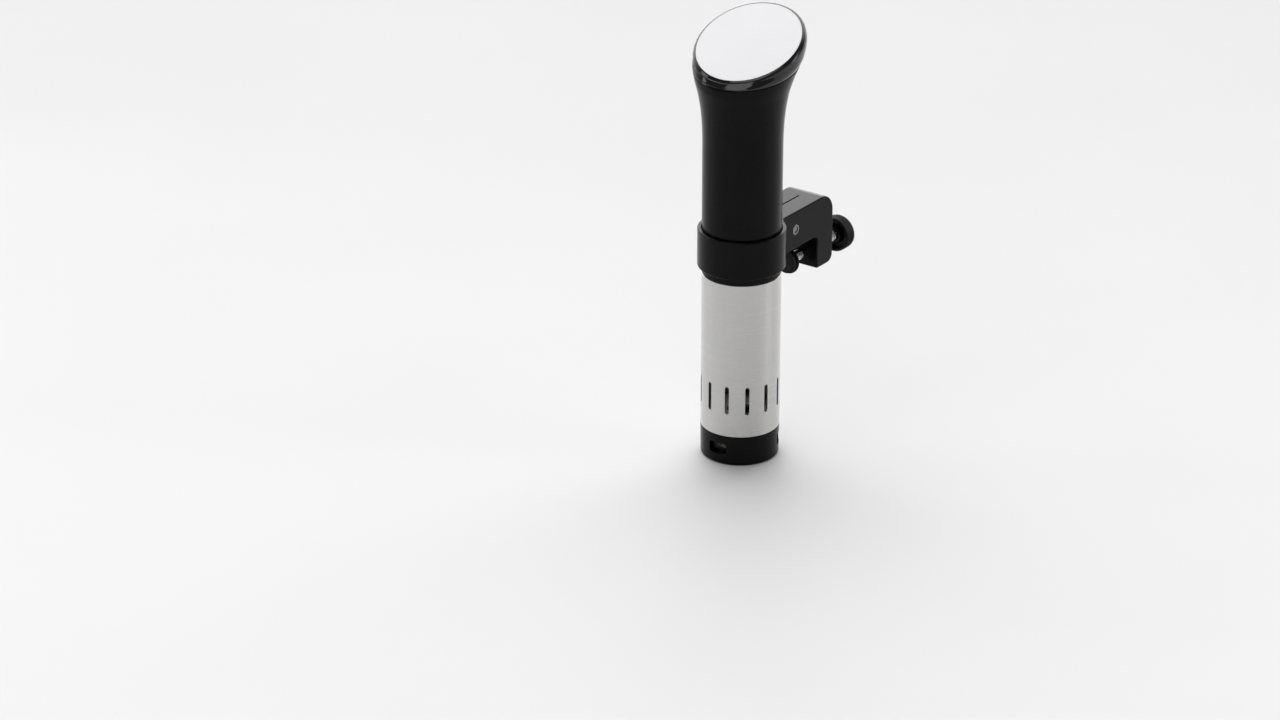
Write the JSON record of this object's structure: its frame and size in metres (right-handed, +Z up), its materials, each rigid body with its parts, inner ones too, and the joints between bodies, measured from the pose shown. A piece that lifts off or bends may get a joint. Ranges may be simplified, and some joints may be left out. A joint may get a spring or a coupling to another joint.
{
  "type": "sous vide circulator",
  "caption": "Upright immersion heater and pump with a sloping round touch display, a steel skirt and a screw clamp that hangs it on a pot wall.",
  "frame": {"origin": "centre of the flat underside of the bottom cap, on the drive axis", "axes": "+Z up along the drive axis; +Y from the body towards the clamp's knob; the display slopes down towards -Y; +X to the right when the display is read"},
  "size_m": [0.0794, 0.159, 0.3238],
  "materials": {
    "satin_black": "satin moulded",
    "gloss_black": "polished",
    "lens_white": "polished",
    "stainless": "polished",
    "plated_steel": "zinc plated",
    "brass": "machined",
    "winding": "enamelled wire on laminations",
    "rubber": "matte",
    "grey_plastic": "moulded",
    "circuit_board": "solder mask",
    "aluminium": "extruded",
    "ferrite": "pressed",
    "blue_film": "sleeved"
  },
  "bodies": {
    "housing": {"steel_skirt": "stainless", "pump_cover": "grey_plastic", "shaft_bush": "brass", "heater_coil": "stainless", "temperature_probe": "stainless", "level_probe_low": "stainless", "level_probe_high": "stainless", "bulkhead": "grey_plastic", "skirt_o_ring": "rubber", "housing_o_ring": "rubber", "shaft_seal": "rubber", "motor_plate": "plated_steel", "motor_can": "plated_steel", "motor_magnets": "ferrite", "motor_end_cap": "grey_plastic", "motor_bush_lower": "brass", "motor_bush_upper": "brass", "plate_screw_1": "plated_steel", "plate_screw_2": "plated_steel", "plate_screw_3": "plated_steel", "motor_screw_1": "plated_steel", "motor_screw_2": "plated_steel", "display_lens": "lens_white", "display_gasket": "rubber", "led_module": "grey_plastic", "display_board": "circuit_board", "wireless_module": "aluminium", "buzzer": "satin_black", "upper_housing": "satin_black", "head_bezel": "gloss_black", "cord_gland": "rubber", "power_board": "circuit_board", "transformer": "ferrite", "capacitor": "blue_film", "relay": "blue_film", "triac_heatsink": "aluminium", "terminal_block": "grey_plastic"},
    "rotor": {"motor_shaft": "plated_steel", "armature": "winding", "cooling_fan": "satin_black", "shaft_coupling": "brass", "drive_shaft": "stainless", "impeller": "grey_plastic", "impeller_nut": "stainless"},
    "cap": {"bottom_cap": "satin_black"},
    "liner": {"clamp_liner": "rubber"},
    "clamp": {"clamp_bracket": "satin_black", "pinch_bolt": "plated_steel", "pinch_nut": "plated_steel", "thread_insert": "brass"},
    "pad": {"pressure_pad": "satin_black", "pad_facing": "rubber"},
    "screw": {"clamp_screw": "stainless", "clamp_knob": "satin_black"}
  },
  "joints": [
    {"name": "drive_spin", "type": "hinge", "parent": "housing", "child": "rotor", "pos_m": [0, 0, 0.1], "axis": [0, 0, 1], "continuous": true},
    {"name": "cap_twist", "type": "hinge", "parent": "housing", "child": "cap", "pos_m": [0, 0, 0.01], "axis": [0, 0, 1], "range_deg": [0, 25]},
    {"name": "clamp_height", "type": "slide", "parent": "housing", "child": "liner", "axis": [0, 0, 1], "range_m": [-0.06, 0.05]},
    {"name": "clamp_swivel", "type": "hinge", "parent": "liner", "child": "clamp", "pos_m": [0, 0, 0.1574], "axis": [0, 0, 1], "continuous": true},
    {"name": "pad_travel", "type": "slide", "parent": "clamp", "child": "pad", "axis": [0, -1, 0], "range_m": [-0.011, 0.022]},
    {"name": "knob_turn", "type": "hinge", "parent": "pad", "child": "screw", "pos_m": [0, 0.12, 0.1259], "axis": [0, -1, 0], "range_deg": [-1980, 3960]}
  ],
  "couplings": [
    {"joint": "knob_turn", "follows": "pad_travel", "rad_per_m": 3141.6}
  ]
}
